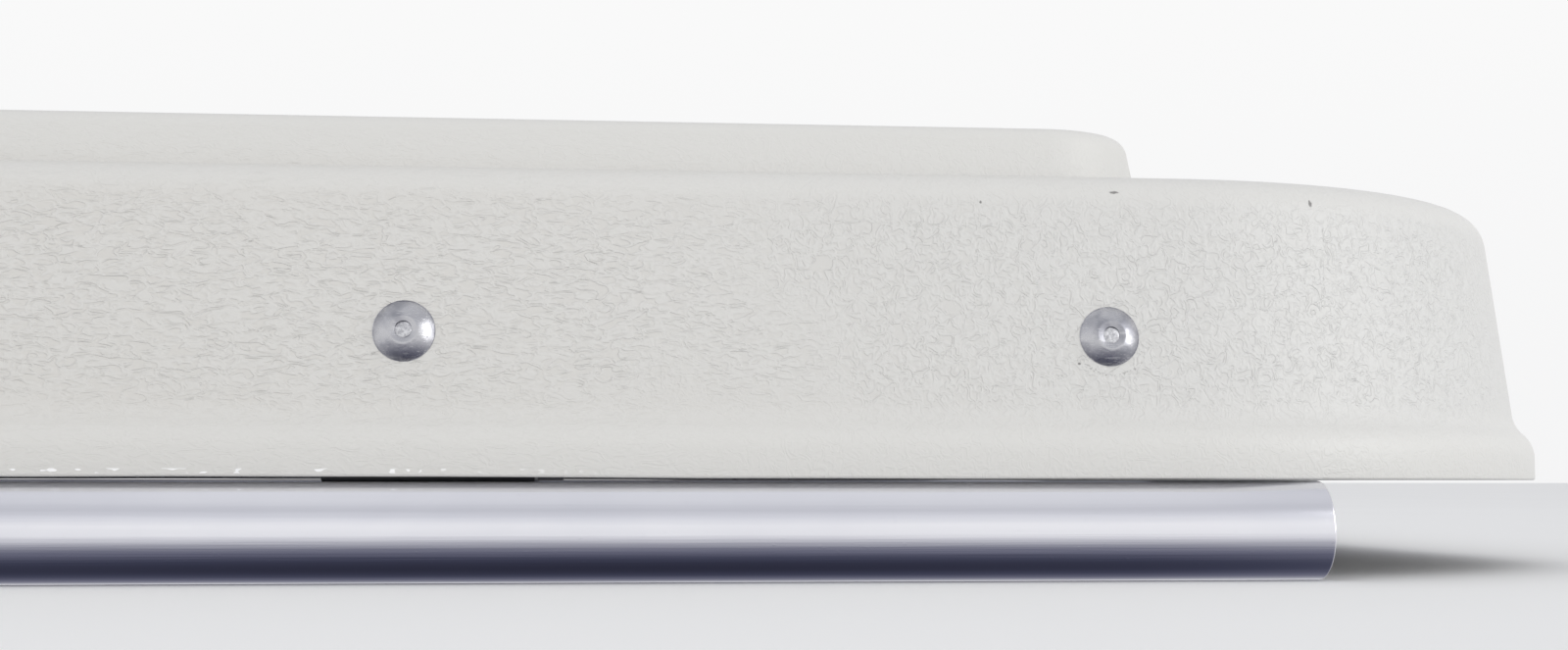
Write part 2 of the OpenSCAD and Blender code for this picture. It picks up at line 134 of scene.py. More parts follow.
camera_data = bpy.data.cameras.new("camera")
camera_data.sensor_width = SENSOR_WIDTH
camera_data.lens = FOCAL_LENGTH
camera_data.clip_start = CAMERA_NEAREST
camera = bpy.data.objects.new("camera", camera_data)
camera.location = (shell_high.x - CAMERA_BACK_FROM_END,
                   shell_low.y - CAMERA_BEFORE_LIP,
                   LIP_Z + CAMERA_OVER_LIP)
look = (Matrix.Rotation(-CAMERA_TURN, 4, "Z")
        @ Matrix.Rotation(math.pi / 2 + CAMERA_TILT, 4, "X")
        @ Matrix.Rotation(CAMERA_ROLL, 4, "Z"))
camera.rotation_euler = look.to_euler()
bpy.context.scene.collection.objects.link(camera)
bpy.context.scene.camera = camera
print("camera at", [round(v, 3) for v in camera.location])

# %% [markdown]
# ## Light and floor
#
# A white plastic shell wants broad light from above and the front. The bright
# tube is a mirror, so what it shows is the room: a pale wall at eye level, a
# greyer ceiling and, below, something dark. The floor is pale, but it is hidden
# from glossy rays, so that polished metal shows the dark lower half of the
# world, as it does over dark ground.

# %% Colours
def linear(red, green, blue):
    """A colour written in display values from 0 to 255, as the renderer wants it."""
    def channel(value):
        value = value / 255
        return value / 12.92 if value <= 0.04045 else ((value + 0.055) / 1.055) ** 2.4
    return (channel(red), channel(green), channel(blue), 1.0)


# %% A small kit for node trees
class Wire:
    """An output of a node, which Python's own arithmetic turns into Math nodes."""

    def __init__(self, tree, socket):
        self.tree = tree
        self.socket = socket

    def math(self, operation, first, *others):
        inputs = dict(enumerate((first,) + others))
        return self.tree.node("ShaderNodeMath", {"operation": operation}, inputs)

    def __add__(self, other):
        return self.math("ADD", self, other)

    __radd__ = __add__

    def __sub__(self, other):
        return self.math("SUBTRACT", self, other)

    def __rsub__(self, other):
        return self.math("SUBTRACT", other, self)

    def __mul__(self, other):
        return self.math("MULTIPLY", self, other)

    def __truediv__(self, other):
        return self.math("DIVIDE", self, other)

    def __abs__(self):
        return self.math("ABSOLUTE", self)

    def lower(self, other):
        return self.math("MINIMUM", self, other)

    def ramp(self, low, high):
        """0 below low, 1 above high and an easy slope between; low may be the larger."""
        return self.tree.node("ShaderNodeMapRange", {"interpolation_type": "SMOOTHSTEP"},
                              {"Value": self, "From Min": low, "From Max": high})


class Tree:
    """A node tree, with one method that adds any node to it."""

    def __init__(self, tree):
        self.tree = tree
        self.tree.nodes.clear()

    def node(self, kind, settings=None, inputs=None, output=0):
        node = self.tree.nodes.new(kind)
        for key, value in (settings or {}).items():
            if key == "stops":
                self.set_stops(node.color_ramp, value)
            else:
                setattr(node, key, value)
        for key, value in (inputs or {}).items():
            if isinstance(value, Wire):
                self.tree.links.new(value.socket, node.inputs[key])
            else:
                node.inputs[key].default_value = value
        return Wire(self, node.outputs[output]) if node.outputs else node

    @staticmethod
    def set_stops(ramp, stops):
        while len(ramp.elements) < len(stops):
            ramp.elements.new(1.0)
        for element, (position, colour) in zip(ramp.elements, stops):
            element.position = position
            element.color = colour

    def mix(self, share, first, second):
        """A blend of two colours."""
        return self.node("ShaderNodeMix", {"data_type": "RGBA"}, {0: share, 6: first, 7: second}, 2)

    def noise(self, place, scale, detail=2.0, roughness=0.5, distortion=0.0):
        return self.node("ShaderNodeTexNoise", {},
                         {"Vector": place, "Scale": scale, "Detail": detail,
                          "Roughness": roughness, "Distortion": distortion})

    def stretch(self, place, scale, offset=(0, 0, 0)):
        """The same place with its axes scaled, so that a pattern on it is drawn out."""
        return self.node("ShaderNodeMapping", {}, {"Vector": place, "Scale": scale, "Location": offset})


class Finish(Tree):
    """A material with one Principled shader, its patterns placed by Object coordinates."""

    def __init__(self, name, **constants):
        self.material = bpy.data.materials.new(name)
        self.material.use_nodes = True
        super().__init__(self.material.node_tree)
        named = {key.replace("_", " ").title().replace("Ior", "IOR"): value
                 for key, value in constants.items()}
        skin = self.node("ShaderNodeBsdfPrincipled", {}, named)
        self.node("ShaderNodeOutputMaterial", {}, {"Surface": skin})
        self.shader = skin.socket.node
        self.place = self.node("ShaderNodeTexCoord", output="Object")

    def feed(self, socket, wire):
        self.tree.links.new(wire.socket, self.shader.inputs[socket])

    def bump(self, height, depth, under=None):
        """Raises the surface by height, from 0 to 1, times depth in metres."""
        inputs = {"Height": height, "Distance": depth, "Strength": 1.0}
        if under is not None:
            inputs["Normal"] = under
        return self.node("ShaderNodeBump", {}, inputs)

    def axis(self, name):
        return self.node("ShaderNodeSeparateXYZ", {}, {"Vector": self.place}, name)

    def attribute(self, name):
        return self.node("ShaderNodeAttribute", {"attribute_name": name}, output="Fac")


# %% World
# Each stop is the height of a direction, from 0 straight down to 1 straight up.
ROOM = [(0.00, linear(48, 49, 64)), (0.05, linear(66, 68, 86)), (0.15, linear(112, 113, 130)),
        (0.22, linear(146, 147, 158)), (0.34, linear(212, 212, 217)), (0.43, linear(248, 248, 249)),
        (0.62, linear(255, 255, 255)), (0.76, linear(232, 233, 237)), (0.87, linear(210, 211, 216)),
        (1.00, linear(234, 235, 238))]

ROOM_STRENGTH = 0.95

world = bpy.data.worlds.new("studio")
bpy.context.scene.world = world
world.use_nodes = True
room = Tree(world.node_tree)
way = room.node("ShaderNodeTexCoord", output="Generated")
height = room.node("ShaderNodeSeparateXYZ", {}, {"Vector": way}, "Z")
colour = room.node("ShaderNodeValToRGB", {"stops": ROOM}, {"Fac": height * 0.5 + 0.5})
glow = room.node("ShaderNodeBackground", {}, {"Color": colour, "Strength": ROOM_STRENGTH})
room.node("ShaderNodeOutputWorld", {}, {"Surface": glow})
bpy.context.scene.view_settings.view_transform = "Standard"

# %% Mesh helpers
MERGE_DISTANCE = 0.02 * MM


def new_piece(bm, name, finish, smooth_angle=30.0, replaces=()):
    """Closes a bmesh into an object that rides on the board and stands for CAD nodes."""
    mesh = bpy.data.meshes.new(name)
    bm.to_mesh(mesh)
    bm.free()
    for polygon in mesh.polygons:
        polygon.use_smooth = True
    mesh.set_sharp_from_angle(angle=math.radians(smooth_angle))
    mesh.materials.append(finish)
    piece = bpy.data.objects.new(name, mesh)
    bpy.context.scene.collection.objects.link(piece)
    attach(piece, BODY)
    if replaces:
        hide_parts(*replaces)
    print(name, len(mesh.polygons), "faces")


class Pen:
    """Draws a section edge by edge, from one vertex, for a spin or a sweep to follow."""

    def __init__(self, bm, start, axis):
        self.bm = bm
        self.axis = axis
        self.tip = bm.verts.new(start)
        self.drawn = [self.tip]

    def line(self, *points):
        for point in points:
            made = bmesh.ops.extrude_vert_indiv(self.bm, verts=[self.tip])
            self.tip = made["verts"][0]
            self.tip.co = Vector(point)
            self.drawn += made["edges"] + made["verts"]
        return self

    def turn(self, centre, degrees, steps):
        known = set(self.bm.verts) | set(self.bm.edges)
        made = bmesh.ops.spin(self.bm, geom=[self.tip], cent=centre, axis=self.axis,
                              angle=math.radians(degrees), steps=steps)
        self.tip = [v for v in made["geom_last"] if isinstance(v, bmesh.types.BMVert)][0]
        self.drawn += [v for v in self.bm.verts if v not in known]
        self.drawn += [e for e in self.bm.edges if e not in known]
        return self


def join_up(bm):
    """Merges what meets and turns every face outwards."""
    bmesh.ops.remove_doubles(bm, verts=bm.verts, dist=MERGE_DISTANCE)
    bmesh.ops.recalc_face_normals(bm, faces=bm.faces)


# %% [markdown]
# ## Floor and lamps
#
# The floor is one large pale sheet. A wide softbox hangs before the board and
# a second stands off its free end, where it lights the rounded corner and puts
# the bright patch on the right of each rivet's dome.

# %% Floor
FLOOR_HALF_WIDTH = 60.0
GRIME_SCALE = 3.0
GRIME_DETAIL = 4.0

floor_finish = Finish("pale_floor", base_color=linear(248, 248, 247), roughness=0.85)
grime = floor_finish.noise(floor_finish.place, GRIME_SCALE, GRIME_DETAIL)
floor_finish.feed("Base Color", floor_finish.mix(grime, linear(251, 251, 250), linear(245, 245, 244)))
floor_mesh = bmesh.new()
bmesh.ops.create_grid(floor_mesh, x_segments=1, y_segments=1, size=FLOOR_HALF_WIDTH)
floor_data = bpy.data.meshes.new("floor")
floor_mesh.to_mesh(floor_data)
floor_mesh.free()
floor_data.materials.append(floor_finish.material)
floor = bpy.data.objects.new("floor", floor_data)
floor.visible_glossy = False
bpy.context.scene.collection.objects.link(floor)


# %% Lamps
END_X = shell_high.x
KEY_PLACE = (0.2, -1.7, 1.5)
KEY_TARGET = (0.5, -0.1, 0.05)
KEY_SIZE = (1.8, 1.0)
KEY_WATTS = 7
KEY_COLOUR = (1.0, 0.995, 0.985)
END_LAMP_PLACE = (END_X + 0.75, -0.75, 0.35)
END_LAMP_TARGET = (END_X - 0.15, -0.1, 0.05)
END_LAMP_SIZE = (0.5, 0.7)
END_LAMP_WATTS = 3
END_LAMP_COLOUR = (1.0, 1.0, 1.0)


def softbox(name, place, target, size, watts, colour, glossy):
    """A rectangular lamp, turned to its target, that polished metal mirrors only if glossy."""
    data = bpy.data.lights.new(name, "AREA")
    data.shape = "RECTANGLE"
    data.size = size[0]
    data.size_y = size[1]
    data.energy = watts
    data.color = colour
    lamp = bpy.data.objects.new(name, data)
    lamp.location = place
    lamp.rotation_euler = (Vector(target) - Vector(place)).to_track_quat("-Z", "Y").to_euler()
    lamp.visible_glossy = glossy
    lamp.visible_camera = False
    bpy.context.scene.collection.objects.link(lamp)
    return lamp


softbox("key", KEY_PLACE, KEY_TARGET, KEY_SIZE, KEY_WATTS, KEY_COLOUR, False)
end_lamp = softbox("end", END_LAMP_PLACE, END_LAMP_TARGET, END_LAMP_SIZE, END_LAMP_WATTS,
                   END_LAMP_COLOUR, True)
# The end lamp hangs low, so the floor is kept out of its light and shows no bright pool.
unlit = bpy.data.collections.new("not lit by the end lamp")
unlit.objects.link(floor)
unlit.collection_objects[0].light_linking.link_state = "EXCLUDE"
end_lamp.light_linking.receiver_collection = unlit
print("lamps", KEY_WATTS, "and", END_LAMP_WATTS, "watts")

# %% [markdown]
# ## White moulded plastic
#
# The shell is vacuum-formed or rotationally moulded, and its face carries a
# hair-cell grain: shallow worm-like ridges a millimetre or two wide. Along the
# straight sides the grain is drawn out lengthwise, and near the corners it
# lies every way. It fades out where the sheet was stretched: on the rim, the
# flare and the deck's wall. There the white is painted lighter, and the grain's
# ridges are painted lighter too: painted highlights for surfaces that catch the
# light. Two vertex attributes, grain and grit, say how strong the grain and the
# deck's grip are, so the pattern follows the shape.

# %% Marks of use and painted shade on the near side
# Each scuff is a place on the near side, its half length along the board and its half height.
SCUFFS = [(0.7807, 0.0842, 0.0011, 0.00035), (0.8266, 0.0829, 0.0005, 0.0009),
          (0.7508, 0.0815, 0.0003, 0.00035), (0.7712, 0.0462, 0.0004, 0.0003)]
# The arc under the nearest rivet is painted shade below its head.
RIVET_SHADE_PLACE = (0.7785, 0.0520)
RIVET_SHADE_RADIUS = 8.3 * MM
RIVET_SHADE_HALF_WIDTH = 0.5 * MM
RIVET_SHADE_SOLID = 0.1 * MM
RIVET_SHADE_STARTS_UNDER = 4 * MM
RIVET_SHADE_FULL_UNDER = 7 * MM
NEAR_SIDE_STARTS_Y = -0.19
NEAR_SIDE_FULL_Y = -0.205
TEAR_SCALE = 1700.0
TEAR_INTO_SCUFF = 1.6
SCUFF_STRENGTH = 0.8
RIVET_SHADE_STRENGTH = 0.45
CHIP_SCALE = 760.0
CHIP_STRETCH = (0.5, 1.0, 1.2)
CHIP_OVER_LIP = 0.9 * MM
CHIP_HALF_HEIGHT = 0.7 * MM
CHIP_SOLID_HEIGHT = 0.2 * MM
CHIPS_END_X = 0.69
CHIPS_FULL_X = 0.62


def near_side(finish):
    """1 on the board's near side and 0 over the rest."""
    return finish.axis("Y").ramp(NEAR_SIDE_STARTS_Y, NEAR_SIDE_FULL_Y)


def scuffs_and_rivet_shade(finish):
    """A few short dark scuffs, and a faint broken dark arc under a rivet's head, painted shade."""
    x = finish.axis("X")
    z = finish.axis("Z")
    torn = finish.noise(finish.place, TEAR_SCALE)
    marks = 0.0
    for mark_x, mark_z, half_length, half_height in SCUFFS:
        across = (x - mark_x) / half_length
        up = (z - mark_z) / half_height
        marks = (across * across + up * up + torn * TEAR_INTO_SCUFF).ramp(2.0, 1.1) + marks
    # Painted shade: a dark arc round the lower side of the nearest rivet's head.
    across = x - RIVET_SHADE_PLACE[0]
    up = z - RIVET_SHADE_PLACE[1]
    away = finish.node("ShaderNodeMath", {"operation": "SQRT"}, {0: across * across + up * up})
    on_arc = abs(away - RIVET_SHADE_RADIUS).ramp(RIVET_SHADE_HALF_WIDTH, RIVET_SHADE_SOLID)
    arc = on_arc * up.ramp(-RIVET_SHADE_STARTS_UNDER, -RIVET_SHADE_FULL_UNDER)
    broken = torn.ramp(0.50, 0.60) * arc
    return (marks * SCUFF_STRENGTH + broken * RIVET_SHADE_STRENGTH).lower(1.0) * near_side(finish)


def lip_specks(finish):
    """Small bright chips along the lip's trimmed edge, away from the free end."""
    chips = finish.noise(finish.stretch(finish.place, CHIP_STRETCH), CHIP_SCALE, 1.0).ramp(0.60, 0.66)
    at_edge = abs(finish.axis("Z") - (LIP_Z + CHIP_OVER_LIP)).ramp(CHIP_HALF_HEIGHT, CHIP_SOLID_HEIGHT)
    return chips * at_edge * abs(finish.axis("X")).ramp(CHIPS_END_X, CHIPS_FULL_X)


# %% Shell finish
DRAWN_STRETCH = (0.50, 1.0, 1.15)
DRAWN_SCALE = 520.0
LOOSE_SCALE = 400.0
RIDGE_HALF_WIDTH = 0.17
CORNER_STARTS_X = 0.755
CORNER_FULL_X = 0.80
PATCH_SCALE = 22.0
SAND_SCALE = 1500.0
PEBBLE_SCALE = 520.0
WAVE_SCALE = 34.0
WAVE_DEPTH = 0.22 * MM
GRAIN_DEPTH = 0.14 * MM
GRIP_DEPTH = 0.18 * MM
PLAIN_FROM_X = 0.95
YELLOWED_FROM_X = 0.45


def shell_plastic():
    """Grain on the faces, grip on the deck, and marks of use over a slightly uneven white, with painted
    highlights on the ridges and where the grain fades and painted shade under a rivet.
    """
    finish = Finish("white_moulded_plastic", roughness=0.42, specular_ior_level=0.45)
    place = finish.place
    x = finish.axis("X")
    grain = finish.attribute("grain")
    grit = finish.attribute("grit")

    turning = abs(x) + finish.noise(place, 30.0, 2.0) * 0.16
    near_end = turning.ramp(CORNER_STARTS_X, CORNER_FULL_X)
    drawn = finish.noise(finish.stretch(place, DRAWN_STRETCH), DRAWN_SCALE, 1.2, 0.5, 1.2)
    loose = finish.noise(place, LOOSE_SCALE, 1.2, 0.5, 1.4)
    drawn_ridges = 1.0 - abs(drawn - 0.5).ramp(0.0, RIDGE_HALF_WIDTH)
    loose_ridges = 1.0 - abs(loose - 0.5).ramp(0.0, RIDGE_HALF_WIDTH)
    ridges = drawn_ridges * (1.0 - near_end) + loose_ridges * near_end
    patches = finish.noise(place, PATCH_SCALE).ramp(0.32, 0.62) * 0.15 + 0.85
    grained = ridges * grain * patches

    sand = finish.noise(place, SAND_SCALE, 3.0, 0.7).ramp(0.42, 0.62)
    pebbles = finish.node("ShaderNodeTexVoronoi", {"feature": "SMOOTH_F1"},
                          {"Vector": place, "Scale": PEBBLE_SCALE, "Smoothness": 0.3})
    grip = (sand * 0.5 + (1.0 - pebbles)) * grit

    waves = finish.noise(place, WAVE_SCALE, 1.0)
    wavy = finish.bump(waves, WAVE_DEPTH)
    grained_skin = finish.bump(grained, GRAIN_DEPTH, wavy)
    finish.feed("Normal", finish.bump(grip, GRIP_DEPTH, grained_skin))

    warm = finish.noise(place, 4.0, 2.0)
    yellowed = x.ramp(PLAIN_FROM_X, YELLOWED_FROM_X) * 0.6 + warm * 0.4
    plain = finish.mix(yellowed, linear(213, 213, 211), linear(213, 210, 204))
    # Where the grain fades, on the rim, flare, ledge, deck wall and end corner, the white is painted
    # lighter: a painted highlight for surfaces facing the light.
    stretch_and_sheen = finish.mix(grain.ramp(0.75, 0.15), plain, linear(217, 216, 212))
    # The grain's ridges are painted lighter: a painted highlight where the ridges catch the light.
    hollow = finish.mix(grained * 0.3, stretch_and_sheen, linear(222, 222, 220))
    worn = finish.mix(grip * 0.5, hollow, linear(212, 211, 207))
    speckled = finish.mix(lip_specks(finish), worn, linear(255, 255, 255))
    # Dark scuffs, and painted shade in an arc under the nearest rivet.
    scuffed_and_shaded = finish.mix(scuffs_and_rivet_shade(finish), speckled, linear(104, 102, 100))
    finish.feed("Base Color", scuffed_and_shaded)
    finish.feed("Roughness", 0.40 + grained * 0.06 + grit * 0.3 + (warm - 0.5) * 0.08)
    return finish.material


WHITE_PLASTIC = shell_plastic()

# %% [markdown]
# ## The shell
#
# A sheet-formed shell is the same wall all round, so it is drawn as one section
# and swept round the board's outline: a quarter spin at each corner and a slide
# along each side. The raised deck has a tighter corner than the lip, so its wall
# is a second sweep, and the ledge between the two is bridged.

# %% Sweep round an outline
CORNER_STEPS = 28
SIDE_STEPS = 60
END_STEPS = 12


def sweep_round(bm, section, length, width, radius):
    """Carries a section, drawn at the start of the -Y side's end, once round the outline."""
    along = length / 2 - radius
    across = width / 2 - radius
    corners = [(along, -across), (along, across), (-along, across), (-along, -across)]
    slides = [((0, 2 * across, 0), END_STEPS), ((-2 * along, 0, 0), SIDE_STEPS),
              ((0, -2 * across, 0), END_STEPS), ((2 * along, 0, 0), SIDE_STEPS)]
    for corner, (slide, steps) in zip(corners, slides):
        made = bmesh.ops.spin(bm, geom=section, cent=(*corner, 0), axis=(0, 0, 1),
                              angle=math.pi / 2, steps=CORNER_STEPS)
        section = made["geom_last"]
        for _ in range(steps):
            edges = [e for e in section if isinstance(e, bmesh.types.BMEdge)]
            made = bmesh.ops.extrude_edge_only(bm, edges=edges)["geom"]
            verts = {v for v in made if isinstance(v, bmesh.types.BMVert)}
            bmesh.ops.translate(bm, vec=Vector(slide) / steps, verts=list(verts))
            section = [e for e in made if isinstance(e, bmesh.types.BMEdge) and set(e.verts) <= verts]
            section += list(verts)


# %% Section of the side, lip and rim
LIP_ROUND = 0.6 * MM
FLARE_RADIUS = 7.2 * MM
FLARE_TURN = 50
LEAN_DEGREES = math.degrees(SIDE_LEAN)
WALL_ACROSS = WALL / math.cos(SIDE_LEAN)
LIP_STEPS = 3
FLARE_STEPS = 8
FACE_STEPS = 8
RIM_STEPS_INSIDE = 8
RIM_STEPS_OUTSIDE = 12


def draw_side(bm):
    """From under the ledge, down the inside, round the lip and up the outside to the ledge."""
    side_x = LENGTH / 2 - CORNER_RADIUS

    def at(inset, z):
        return (side_x, -WIDTH / 2 + inset, z)

    rim_z = LEDGE_Z - RIM_RADIUS
    touch_z = rim_z + RIM_RADIUS * math.sin(SIDE_LEAN)
    rim_in = face_inset(touch_z) + RIM_RADIUS * math.cos(SIDE_LEAN)
    lip_top = LIP_Z + LIP_HEIGHT
    low_centre = (FLARE_RADIUS, lip_top)
    turn = math.radians(FLARE_TURN)
    high_centre = (FLARE_RADIUS - 2 * FLARE_RADIUS * math.cos(turn),
                   lip_top + 2 * FLARE_RADIUS * math.sin(turn))
    pen = Pen(bm, at(rim_in, LEDGE_Z - WALL), (1, 0, 0))
    pen.turn(at(rim_in, rim_z), 90 - LEAN_DEGREES, RIM_STEPS_INSIDE)
    pen.line(at(face_inset(FACE_FOOT_Z) + WALL_ACROSS, FACE_FOOT_Z),
             at(WALL, lip_top), at(WALL, LIP_Z + LIP_ROUND))
    pen.turn(at(WALL - LIP_ROUND, LIP_Z + LIP_ROUND), -90, LIP_STEPS)
    pen.line(at(LIP_ROUND, LIP_Z))
    pen.turn(at(LIP_ROUND, LIP_Z + LIP_ROUND), -90, LIP_STEPS)
    pen.line(at(0, lip_top))
    pen.turn(at(*low_centre), -FLARE_TURN, FLARE_STEPS)
    pen.turn(at(*high_centre), FLARE_TURN - LEAN_DEGREES, FLARE_STEPS)
    foot = pen.tip.co.copy()
    touch = Vector(at(face_inset(touch_z), touch_z))
    pen.line(*[foot.lerp(touch, i / FACE_STEPS) for i in range(1, FACE_STEPS + 1)])
    pen.turn(at(rim_in, rim_z), LEAN_DEGREES - 90, RIM_STEPS_OUTSIDE)
    return pen.drawn


# %% Section of the raised deck
FOOT_ROUND = 1.0 * MM
DECK_LEAN_DEGREES = math.degrees(DECK_LEAN)
DECK_WALL_ACROSS = WALL / math.cos(DECK_LEAN)
DECK_SECTION_X = LENGTH / 2 - DECK_END_IN - DECK_CORNER
FOOT_STEPS = 5
DECK_EDGE_STEPS = 8


def draw_deck_wall(bm):
    """From the ledge, up the deck's wall and over its edge to the top."""
    def at(inset, z):
        return (DECK_SECTION_X, -WIDTH / 2 + DECK_SIDE_IN + inset, z)

    foot_out = FOOT_ROUND * (1 - math.sin(DECK_LEAN)) / math.cos(DECK_LEAN)
    edge_z = DECK_Z - DECK_EDGE
    touch_z = edge_z + DECK_EDGE * math.sin(DECK_LEAN)
    touch_in = (touch_z - LEDGE_Z) * math.tan(DECK_LEAN)
    edge_in = touch_in + DECK_EDGE * math.cos(DECK_LEAN)
    pen = Pen(bm, at(-foot_out, LEDGE_Z), (1, 0, 0))
    pen.turn(at(-foot_out, LEDGE_Z + FOOT_ROUND), 90 - DECK_LEAN_DEGREES, FOOT_STEPS)
    pen.line(at(touch_in, touch_z))
    pen.turn(at(edge_in, edge_z), DECK_LEAN_DEGREES - 90, DECK_EDGE_STEPS)
    return pen.drawn


def draw_deck_inside(bm):
    """Up the inside of the deck's wall, from under the ledge to under the deck."""
    base = -WIDTH / 2 + DECK_SIDE_IN + DECK_WALL_ACROSS
    slope = math.tan(DECK_LEAN)
    pen = Pen(bm, (DECK_SECTION_X, base - WALL * slope, LEDGE_Z - WALL), (1, 0, 0))
    pen.line((DECK_SECTION_X, base + (DECK_HEIGHT - WALL) * slope, DECK_Z - WALL))
    return pen.drawn


# %% Build the shell
TREAD_BORDER = 14 * MM
TREAD_SINK = 0.5 * MM
LEVEL_TOLERANCE = 0.1 * MM


def open_loops(bm):
    """The boundary edges, sorted into closed loops."""
    left = {e for e in bm.edges if e.is_boundary}
    loops = []
    while left:
        loop = [left.pop()]
        grow = list(loop)
        while grow:
            edge = grow.pop()
            near = {e for v in edge.verts for e in v.link_edges} & left
            left -= near
            loop += near
            grow += near
        loops.append(loop)
    return loops


def level_of(loop):
    """The mean height of a loop's vertices, each of which ends two of its edges."""
    return sum(v.co.z for e in loop for v in e.verts) / (2 * len(loop))


def loops_at(loops, z):
    return [loop for loop in loops if abs(level_of(loop) - z) < LEVEL_TOLERANCE]


shell = bmesh.new()
sweep_round(shell, draw_side(shell), LENGTH, WIDTH, CORNER_RADIUS)
deck_length = LENGTH - 2 * DECK_END_IN
deck_width = WIDTH - 2 * DECK_SIDE_IN
sweep_round(shell, draw_deck_wall(shell), deck_length, deck_width, DECK_CORNER)
sweep_round(shell, draw_deck_inside(shell), deck_length, deck_width, DECK_CORNER)
bmesh.ops.remove_doubles(shell, verts=shell.verts, dist=MERGE_DISTANCE)

loops = sorted(open_loops(shell), key=level_of)
print("levels of the open loops, mm", [round(level_of(loop) / MM, 2) for loop in loops])
ledge_under = loops_at(loops, LEDGE_Z - WALL)
ledge_over = loops_at(loops, LEDGE_Z)
ceiling = loops_at(loops, DECK_Z - WALL)[0]
crown = loops_at(loops, DECK_Z)[0]
under = bmesh.ops.triangle_fill(shell, use_beauty=True, edges=ledge_under[0] + ledge_under[1])["geom"]
over = bmesh.ops.bridge_loops(shell, edges=ledge_over[0] + ledge_over[1])["faces"]
bmesh.ops.contextual_create(shell, geom=ceiling)
top = bmesh.ops.contextual_create(shell, geom=crown)["faces"]
bmesh.ops.recalc_face_normals(shell, faces=shell.faces)
bmesh.ops.inset_region(shell, faces=top, thickness=TREAD_BORDER)
bmesh.ops.inset_region(shell, faces=top, thickness=TREAD_SINK, depth=-TREAD_SINK)
under = [f for f in under if isinstance(f, bmesh.types.BMFace)]
print("ledge area, m2: under", round(sum(f.calc_area() for f in under), 4),
      "over", round(sum(f.calc_area() for f in over), 4))
print("shell loops", len(loops), "open edges left", sum(e.is_boundary for e in shell.edges),
      "edges of three faces or more", sum(len(e.link_faces) > 2 for e in shell.edges))

# %% [markdown]
# ## Trimming the lip and marking the grain
#
# The lip was trimmed with a router after moulding, so its edge isn't dead
# straight: it wanders by a tenth of a millimetre either way, and hangs a little
# lower towards the ends. Moving the vertices does that. The same pass writes
# how strong the grain is at every vertex.

# %% Lip and attributes
LIP_DROP_MIDDLE = 0.25 * MM
LIP_DROP_ENDS = 0.62 * MM
LIP_DROP_GROWS_X = 0.58
LIP_DROP_FULL_X = 0.84
LIP_WANDER = 0.10 * MM
# Each wave of the lip's edge is a share and how fast it turns along X and along Y.
LIP_WAVES = [(0.6, 37.0, 11.0), (0.4, 91.0, -23.0)]


def smooth(value, low, high):
    """0 below low, 1 above high and an easy slope between."""
    share = min(max((value - low) / (high - low), 0.0), 1.0)
    return share * share * (3 - 2 * share)


def lip_shift(x, y):
    """How far the lip's edge lies above its nominal height, which is below it when negative."""
    end = smooth(abs(x), LIP_DROP_GROWS_X, LIP_DROP_FULL_X)
    wander = sum(math.sin(x * along + y * across) * share for share, along, across in LIP_WAVES)
    return -LIP_DROP_MIDDLE * (1 - end) - LIP_DROP_ENDS * end + LIP_WANDER * wander


FACE_GRAIN_LEAST = 0.34
LEDGE_GRAIN = 0.5
DECK_WALL_GRAIN = 0.2
CORNER_GRAIN_LOSS = 0.45


def grain_at(co):
    """The grain is full on the side face and fades at the flare, the rim and the deck."""
    above_flare = smooth(co.z, FACE_FOOT_Z - 7 * MM, FACE_FOOT_Z + 6 * MM)
    below_rim = 1 - smooth(co.z, LEDGE_Z - 11 * MM, LEDGE_Z - 4 * MM)
    on_ledge = smooth(co.z, LEDGE_Z - 0.5 * MM, LEDGE_Z - 0.1 * MM)
    on_wall = smooth(co.z, LEDGE_Z + 0.3 * MM, LEDGE_Z + 2 * MM)
    # Less grain at the corner also paints the white lighter there, a painted highlight.
    stretch_and_sheen = 1 - CORNER_GRAIN_LOSS * smooth(abs(co.x), END_X - 62 * MM, END_X - 12 * MM)
    face = FACE_GRAIN_LEAST + (1 - FACE_GRAIN_LEAST) * above_flare * below_rim * stretch_and_sheen
    return max(face * (1 - on_ledge), LEDGE_GRAIN * on_ledge * (1 - on_wall), DECK_WALL_GRAIN * on_wall)


tread_faces = set(top)
for vertex in shell.verts:
    share = 1 - smooth(vertex.co.z, LIP_Z, FACE_FOOT_Z)
    vertex.co.z += share * lip_shift(vertex.co.x, vertex.co.y)
grain_layer = shell.verts.layers.float.new("grain")
grit_layer = shell.verts.layers.float.new("grit")
for vertex in shell.verts:
    vertex[grain_layer] = grain_at(vertex.co)
    vertex[grit_layer] = float(any(f in tread_faces for f in vertex.link_faces))
new_piece(shell, "deck_shell_skin", WHITE_PLASTIC, 35, ["deck_shell"])

# %% [markdown]
# ## Metals, rubber and wood
#
# Extruded aluminium comes out of its die with fine lines along its length, and
# goes dull in patches. The rail brackets are painted dark grey: painted shade
# that stands for the shade in the gap between the lip and the rails. The side
# rails are drawn tube with a polish on it, so they keep only faint streaks. Zinc
# plating on the steel fasteners is speckled, with a slight yellow cast. The
# core is sealed plywood and the fulcrum pad is black rubber. Every pattern is
# placed by Object coordinates, and the lines follow the axis that each piece
# was drawn or rolled along.

# %% Metal finishes
ALONG_X = (0.01, 1.0, 1.0)
ALONG_Y = (1.0, 0.01, 1.0)
LINE_SCALE = 900.0
BROAD_LINE_SCALE = 160.0
DULL_PATCH_SCALE = 14.0
SPECK_SCALE = 700.0
SPANGLE_SCALE = 900.0
SPANGLE_DEPTH = 0.06 * MM
BREAK_SCALE = 1400.0
BREAK_DEPTH = 0.18 * MM
SCRATCH_SCALE = 2600.0
CROSS_SCRATCH_SCALE = 2100.0
DENT_SCALE = 330.0
DENT_DEPTH = 0.10 * MM


